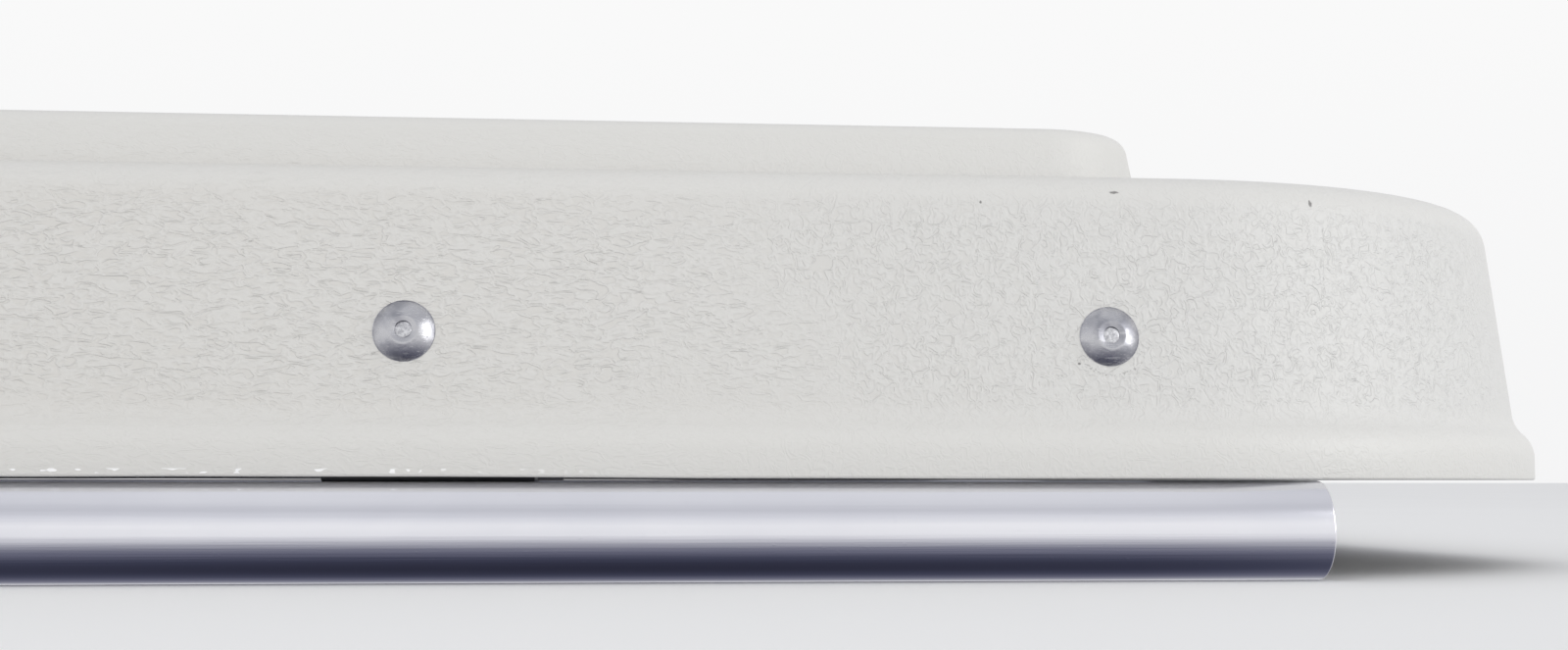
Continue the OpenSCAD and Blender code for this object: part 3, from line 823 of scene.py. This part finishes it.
def drawn_metal(name, grain, colour, dull, roughness, line_depth, patchiness):
    """Drawn, extruded or rolled metal, with lines along one axis and dull patches."""
    finish = Finish(name, metallic=1.0)
    lines = finish.noise(finish.stretch(finish.place, grain), LINE_SCALE, 4.0, 0.6)
    broad = finish.noise(finish.stretch(finish.place, grain), BROAD_LINE_SCALE)
    patches = finish.noise(finish.place, DULL_PATCH_SCALE, 4.0, 0.6, 0.6).ramp(0.35, 0.70) * patchiness
    specks = finish.noise(finish.place, SPECK_SCALE).ramp(0.66, 0.74) * patchiness
    shade = finish.mix(patches + lines * 0.25 + specks * 0.3, colour, dull)
    finish.feed("Base Color", shade)
    finish.feed("Roughness", roughness + patches * 0.16 + (lines - 0.5) * 0.10 + specks * 0.2)
    finish.feed("Normal", finish.bump(lines * 0.7 + broad * 0.5 + specks * 0.4, line_depth))
    return finish.material


def zinc_steel():
    """Steel under the speckled, faintly yellow crystals of zinc plating."""
    finish = Finish("zinc_plated_steel", metallic=1.0)
    spangle = finish.node("ShaderNodeTexVoronoi", {}, {"Vector": finish.place, "Scale": SPANGLE_SCALE})
    cloud = finish.noise(finish.place, 90.0, 3.0)
    finish.feed("Base Color", finish.mix(cloud.ramp(0.3, 0.7), linear(200, 198, 188), linear(168, 166, 160)))
    finish.feed("Roughness", 0.34 + spangle * 0.25 + cloud * 0.12)
    finish.feed("Normal", finish.bump(spangle + cloud * 0.5, SPANGLE_DEPTH))
    return finish.material


def broken_steel():
    """The torn grey face where a mandrel's neck has snapped."""
    finish = Finish("broken_mandrel_steel", metallic=1.0)
    tear = finish.noise(finish.place, BREAK_SCALE, 4.0, 0.7)
    shade = finish.mix(tear.ramp(0.35, 0.65), linear(186, 186, 190), linear(240, 240, 242))
    finish.feed("Base Color", shade)
    finish.feed("Roughness", 0.30 + tear * 0.3)
    finish.feed("Normal", finish.bump(tear, BREAK_DEPTH))
    return finish.material


def rivet_metal():
    """Soft aluminium, with the fine scratches and dents of the setting tool."""
    finish = Finish("rivet_aluminium", metallic=1.0)
    one_way = finish.noise(finish.stretch(finish.place, (0.12, 1.0, 1.6), (3, 0, 0)), SCRATCH_SCALE)
    turned = finish.node("ShaderNodeMapping", {}, {"Vector": finish.place, "Rotation": (0.3, 0.9, 0.2),
                                                   "Scale": (0.10, 1.0, 1.5)})
    other_way = finish.noise(turned, CROSS_SCRATCH_SCALE)
    scratches = one_way.ramp(0.60, 0.72) + other_way.ramp(0.62, 0.74)
    dents = finish.noise(finish.place, DENT_SCALE, 2.0, 0.5, 0.8)
    tarnish = finish.noise(finish.place, 210.0, 3.0).ramp(0.42, 0.66)
    shade = finish.mix(tarnish * 0.7, linear(198, 198, 202), linear(150, 151, 160))
    finish.feed("Base Color", finish.mix(scratches * 0.4, shade, linear(238, 238, 240)))
    finish.feed("Roughness", 0.26 + scratches * 0.14 + tarnish * 0.12)
    finish.feed("Normal", finish.bump(dents + scratches * 0.10, DENT_DEPTH))
    return finish.material


# %% Other finishes
PLASTIC_PEBBLE_SCALE = 1300.0
PLASTIC_PEBBLE_DEPTH = 0.08 * MM
DUST_SCALE = 120.0
RUBBER_SKIN_SCALE = 420.0
RUBBER_SKIN_DEPTH = 0.15 * MM
BLOOM_SCALE = 26.0
FIBRE_SCALE = 330.0
FIBRE_DEPTH = 0.12 * MM
FIGURE_SCALE = 26.0
PLY_SCALE = 62.0


def black_plastic():
    """Injection-moulded plastic with a fine pebbled face and some dust on it."""
    finish = Finish("black_moulded_plastic", specular_ior_level=0.4)
    pebble = finish.noise(finish.place, PLASTIC_PEBBLE_SCALE)
    dust = finish.noise(finish.place, DUST_SCALE, 4.0, 0.65).ramp(0.50, 0.75)
    finish.feed("Base Color", finish.mix(dust * 0.35, linear(30, 30, 33), linear(92, 90, 88)))
    finish.feed("Roughness", 0.42 + pebble * 0.2 + dust * 0.2)
    finish.feed("Normal", finish.bump(pebble, PLASTIC_PEBBLE_DEPTH))
    return finish.material


def black_rubber():
    """Rubber with a rough skin and the pale bloom that comes out of it with age."""
    finish = Finish("black_pad_rubber", specular_ior_level=0.3)
    skin = finish.noise(finish.place, RUBBER_SKIN_SCALE, 4.0, 0.65)
    bloom = finish.noise(finish.place, BLOOM_SCALE, 3.0).ramp(0.40, 0.72)
    finish.feed("Base Color", finish.mix(bloom * 0.5, linear(34, 34, 35), linear(78, 77, 75)))
    finish.feed("Roughness", 0.72 + skin * 0.2)
    finish.feed("Normal", finish.bump(skin, RUBBER_SKIN_DEPTH))
    return finish.material


def plywood():
    """Rotary-cut veneer, with its grain along the board and a dark line at each glue layer."""
    finish = Finish("sealed_plywood", specular_ior_level=0.35)
    fibre = finish.noise(finish.stretch(finish.place, (0.05, 1.0, 1.0)), FIBRE_SCALE, 4.0, 0.6)
    figure = finish.noise(finish.stretch(finish.place, (0.12, 1.0, 1.0)), FIGURE_SCALE, 2.0, 0.5, 1.4)
    bands = finish.node("ShaderNodeTexWave", {"bands_direction": "Y"},
                        {"Vector": finish.place, "Scale": 3.0, "Distortion": 9.0, "Detail": 2.0,
                         "Detail Scale": 0.8}, "Fac")
    plies = finish.node("ShaderNodeTexWave", {"bands_direction": "Z"},
                        {"Vector": finish.place, "Scale": PLY_SCALE, "Distortion": 0.15}, "Fac")
    glue = plies.ramp(0.80, 0.95)
    wood = finish.mix(figure * 0.5 + bands * 0.35, linear(206, 171, 121), linear(165, 122, 76))
    finish.feed("Base Color", finish.mix(glue * 0.45 + fibre * 0.2, wood, linear(104, 72, 44)))
    finish.feed("Roughness", 0.45 + fibre * 0.25)
    finish.feed("Normal", finish.bump(fibre + glue * 0.5, FIBRE_DEPTH))
    return finish.material


# %% Make each finish once
# Each look is a light colour, a dull one, a roughness, the depth of the lines and the patchiness.
MILL_LOOK = (linear(206, 208, 212), linear(158, 161, 168), 0.32, 0.06 * MM, 0.6)
POLISHED_LOOK = (linear(240, 240, 245), linear(216, 217, 226), 0.14, 0.05 * MM, 0.22)
# The bracket look is dark grey, painted shade for the shaded gap between the lip and the rails.
SHADE_DARK_BRACKET_LOOK = (linear(100, 101, 104), linear(74, 75, 78), 0.42, 0.04 * MM, 0.5)

MILL_X = drawn_metal("mill_aluminium_x", ALONG_X, *MILL_LOOK)
MILL_Y = drawn_metal("mill_aluminium_y", ALONG_Y, *MILL_LOOK)
RAIL_METAL = drawn_metal("drawn_rail_aluminium", ALONG_X, *POLISHED_LOOK)
RIVET_METAL = rivet_metal()
MANDREL_STEEL = broken_steel()
BLACK_PLASTIC = black_plastic()
# The dark brackets are painted shade in the gap under the lip.
SHADE_DARK_BRACKET_METAL = drawn_metal("bracket_painted_shade", ALONG_X, *SHADE_DARK_BRACKET_LOOK)
by_slot = {"core_ply": plywood(), "frame_aluminium": MILL_X, "bracket_aluminium": SHADE_DARK_BRACKET_METAL,
           "fastener_steel": zinc_steel(), "pad_rubber": black_rubber(), "rail_aluminium": RAIL_METAL,
           "rivet_aluminium": RIVET_METAL, "mandrel_steel": MANDREL_STEEL,
           "plug_plastic": BLACK_PLASTIC, "shell_plastic": WHITE_PLASTIC}
print("finishes", sorted(by_slot))

# %% Paint the CAD nodes
CROSSWISE = ("cross_member", "end_channel")
for node in frame["record"]["subparts"]:
    cad = bpy.data.objects[node["node"]]
    paint = by_slot[node["material_slot"]]
    if node["node"].startswith(CROSSWISE):
        paint = MILL_Y
    for material_slot in cad.material_slots:
        material_slot.material = paint

# %% [markdown]
# ## Side rails
#
# Each rail is a drawn aluminium tube, sawn off square and deburred by hand, so
# its two edges are rounded by a few tenths. A section of the wall is spun round
# the tube's axis.

# %% Rails
RAIL_WALL = 1.5 * MM
DEBURR = 0.45 * MM
# The CAD tube is faceted, and the round one has to stay inside its box.
RAIL_PLAY = 0.04 * MM
ROUND_STEPS = 96
EDGE_ARC_STEPS = 4
LENGTH_STEPS = 40


def spun_ring(bm, centre, direction, points, steps=ROUND_STEPS):
    """Spins a section of (along, radius) points about a line; points on the line close it."""
    along = Vector(direction).normalized()
    out = along.orthogonal().normalized()
    places = [Vector(centre) + along * a + out * r for a, r in points]
    pen = Pen(bm, places[0], along)
    pen.line(*places[1:])
    return bmesh.ops.spin(bm, geom=pen.drawn, cent=centre, axis=along, angle=math.tau,
                          steps=steps, use_merge=True)


def corner_points(along, radius, size, start, end):
    """An arc between two angles, in degrees, about (along, radius)."""
    steps = EDGE_ARC_STEPS
    angles = [math.radians(start + (end - start) * i / steps) for i in range(steps + 1)]
    return [(along + size * math.cos(a), radius + size * math.sin(a)) for a in angles]


def rail_section(length, radius, wall):
    """The tube's wall, cut lengthwise, with the outside in short lengths and its four edges eased."""
    half = length / 2
    inner = radius - wall
    stations = [half - DEBURR - 2 * (half - DEBURR) * i / LENGTH_STEPS for i in range(1, LENGTH_STEPS)]
    section = corner_points(-half + DEBURR, radius - DEBURR, DEBURR, 180, 90)
    section += [(-a, radius) for a in stations]
    section += corner_points(half - DEBURR, radius - DEBURR, DEBURR, 90, 0)
    section += corner_points(half - DEBURR, inner + DEBURR, DEBURR, 0, -90)
    section += corner_points(-half + DEBURR, inner + DEBURR, DEBURR, -90, -180)
    return section + [section[0]]


for side_name in ("left", "right"):
    rail_low, rail_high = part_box("rail_" + side_name)
    middle = (rail_low + rail_high) / 2
    rail = bmesh.new()
    rail_radius = (rail_high.z - rail_low.z) / 2 - RAIL_PLAY
    section = rail_section(rail_high.x - rail_low.x, rail_radius, RAIL_WALL)
    spun_ring(rail, middle, (1, 0, 0), section)
    join_up(rail)
    new_piece(rail, "rail_tube_" + side_name, RAIL_METAL, 40, ["rail_" + side_name])

# %% [markdown]
# ## Rail plugs
#
# A push-in plug closes each end of a rail. Its face sits just inside the bore
# and is slightly dished, with a rounded edge and a gate mark in the middle where
# the plastic entered the mould. Behind the face a hollow stem carries three ribs
# that grip the bore.

# %% Plugs
PLUG_FACE = 2.4 * MM
PLUG_DEPTH = 18 * MM
PLUG_WALL = 2 * MM
PLUG_EDGE = 0.5 * MM
GATE_RADIUS = 1.1 * MM
PLUG_STEPS = 64
STEM_STEP = 0.2 * MM
RIB_COUNT = 3
RIB_HALF = 1 * MM
RIB_PLAY = 0.05 * MM


def plug_section(radius):
    """From the gate mark, over the dished face and its edge, along the ribs and back up the hollow."""
    stem = radius - STEM_STEP
    end = -PLUG_FACE - PLUG_DEPTH
    section = [(-0.35 * MM, 0), (-0.35 * MM, GATE_RADIUS * 0.8), (-0.65 * MM, GATE_RADIUS),
               (-0.55 * MM, radius * 0.45), (-0.25 * MM, radius * 0.8), (0, radius - 1.3 * MM)]
    section += corner_points(-PLUG_EDGE, radius - PLUG_EDGE, PLUG_EDGE, 0, 90)
    section += [(-PLUG_FACE, radius), (-PLUG_FACE - STEM_STEP, stem)]
    for rib in range(1, RIB_COUNT + 1):
        foot = -PLUG_FACE - rib * PLUG_DEPTH / (RIB_COUNT + 1)
        section += [(foot + RIB_HALF, stem), (foot, radius - RIB_PLAY), (foot - RIB_HALF, stem)]
    section += [(end + 1 * MM, stem), (end, stem - 1 * MM), (end, stem - PLUG_WALL),
                (-PLUG_FACE, stem - PLUG_WALL), (-PLUG_FACE, 0)]
    return section


for node in [n["node"] for n in frame["record"]["subparts"] if n["node"].startswith("rail_plug")]:
    plug_low, plug_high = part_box(node)
    middle = (plug_low + plug_high) / 2
    outward = 1 if "front" in node else -1
    face_x = plug_high.x if outward > 0 else plug_low.x
    plug = bmesh.new()
    spun_ring(plug, (face_x, middle.y, middle.z), (outward, 0, 0),
              plug_section((plug_high.z - plug_low.z) / 2), PLUG_STEPS)
    join_up(plug)
    new_piece(plug, node + "_moulding", BLACK_PLASTIC, 35, [node])

# %% [markdown]
# ## Blind rivets
#
# A blind rivet is a domed aluminium body on a steel mandrel. The setting tool
# pulls the mandrel until its head swells the far end into a bulb and its neck
# snaps, and its nosepiece presses a flat ring round the middle of the dome. No
# two break alike, so the ring's size, the break's height and its lean differ
# from rivet to rivet, drawn from a seeded generator.

# %% Rivets
HEAD_RADIUS = 6.5 * MM
HEAD_HEIGHT = 2.6 * MM
SHANK_RADIUS = 3.2 * MM
GRIP = 7 * MM
BULB_RADIUS = 4.5 * MM
BULB_LENGTH = 5 * MM
BORE_RADIUS = 1.8 * MM
TAIL_RADIUS = 2.9 * MM
TAIL_LENGTH = 2.4 * MM
RIVET_Z = LIP_Z + 30 * MM
RIVET_PITCH = 150 * MM
RIVET_FIRST_X = 778 * MM
RIVET_COUNT = 11
END_RIVET_Y = 70 * MM
HEAD_STEPS = 56
DOME_STEPS = 12
STUB_STEPS = 32
HEAD_RIM = 0.35 * MM
# The ring's radius and the break's depth under the dome's top are drawn between these, in mm.
RING_RADII = (2.3, 2.9)
BREAK_DEPTHS = (0.40, 0.52)
BREAK_LEAN = 0.12
LEAN_ABOVE = 0.6
SEED = 20
draws = random.Random(SEED)


def rivet_section(mark):
    """From the bore's mouth out over the dome, down the shank and back up the bore."""
    sphere = (HEAD_RADIUS ** 2 + HEAD_HEIGHT ** 2) / (2 * HEAD_HEIGHT)
    centre = HEAD_HEIGHT - sphere
    flat = math.sqrt(sphere ** 2 - mark ** 2) + centre
    section = [(flat - 0.16 * MM, BORE_RADIUS), (flat - 0.10 * MM, BORE_RADIUS + 0.1 * MM),
               (flat - 0.08 * MM, mark - 0.2 * MM), (flat, mark)]
    for step in range(1, DOME_STEPS + 1):
        radius = mark + (HEAD_RADIUS - 0.12 * MM - mark) * step / DOME_STEPS
        swell = HEAD_RIM * (1 - step / DOME_STEPS) * 0.3
        section.append((math.sqrt(sphere ** 2 - radius ** 2) + centre + swell, radius))
    section += [(HEAD_RIM * 0.5, HEAD_RADIUS), (0, HEAD_RADIUS - 0.1 * MM), (0, SHANK_RADIUS),
                (-GRIP, SHANK_RADIUS), (-GRIP - BULB_LENGTH * 0.25, BULB_RADIUS * 0.93),
                (-GRIP - BULB_LENGTH * 0.55, BULB_RADIUS), (-GRIP - BULB_LENGTH * 0.9, BULB_RADIUS * 0.85),
                (-GRIP - BULB_LENGTH, BULB_RADIUS * 0.7), (-GRIP - BULB_LENGTH, BORE_RADIUS)]
    return section + [section[0]]


def mandrel_section(top):
    """From the broken top, down the bore and round the mandrel's head under the bulb."""
    foot = -GRIP - BULB_LENGTH
    return [(top - 0.05 * MM, 0), (top, BORE_RADIUS * 0.35), (top - 0.02 * MM, BORE_RADIUS * 0.85),
            (top - 0.12 * MM, BORE_RADIUS * 0.98), (foot, BORE_RADIUS * 0.98),
            (foot, TAIL_RADIUS * 0.8), (foot - TAIL_LENGTH * 0.2, TAIL_RADIUS),
            (foot - TAIL_LENGTH * 0.7, TAIL_RADIUS * 0.95), (foot - TAIL_LENGTH, TAIL_RADIUS * 0.6),
            (foot - TAIL_LENGTH, 0)]


def rivet_places(row):
    """Where each rivet of a row stands on its wall, with the wall's outward direction."""
    inset = face_inset(RIVET_Z)
    up = math.sin(SIDE_LEAN)
    out = math.cos(SIDE_LEAN)
    if row in ("left", "right"):
        sign = 1 if row == "left" else -1
        side_y = sign * (WIDTH / 2 - inset)
        return [((RIVET_FIRST_X - i * RIVET_PITCH, side_y, RIVET_Z), (0, sign * out, up))
                for i in range(RIVET_COUNT)]
    sign = 1 if row == "front" else -1
    end_x = sign * (LENGTH / 2 - inset)
    return [((end_x, y, RIVET_Z), (sign * out, 0, up)) for y in (-END_RIVET_Y, END_RIVET_Y)]


for row in ("right", "left", "front", "rear"):
    heads = bmesh.new()
    stubs = bmesh.new()
    for place, outward in rivet_places(row):
        ring_radius = draws.uniform(*RING_RADII) * MM
        spun_ring(heads, place, outward, rivet_section(ring_radius), HEAD_STEPS)
        before = set(stubs.verts)
        break_height = HEAD_HEIGHT - draws.uniform(*BREAK_DEPTHS) * MM
        spun_ring(stubs, place, outward, mandrel_section(break_height), STUB_STEPS)
        lean = Vector([draws.uniform(-BREAK_LEAN, BREAK_LEAN) for _ in range(3)])
        for vertex in set(stubs.verts) - before:
            offset = vertex.co - Vector(place)
            if offset.dot(Vector(outward)) > HEAD_HEIGHT * LEAN_ABOVE:
                vertex.co += Vector(outward) * offset.dot(lean)
    join_up(heads)
    join_up(stubs)
    new_piece(heads, "rivet_heads_" + row, RIVET_METAL, 30, ["shell_rivets_" + row])
    new_piece(stubs, "rivet_stubs_" + row, MANDREL_STEEL, 30, ["rivet_mandrels_" + row])
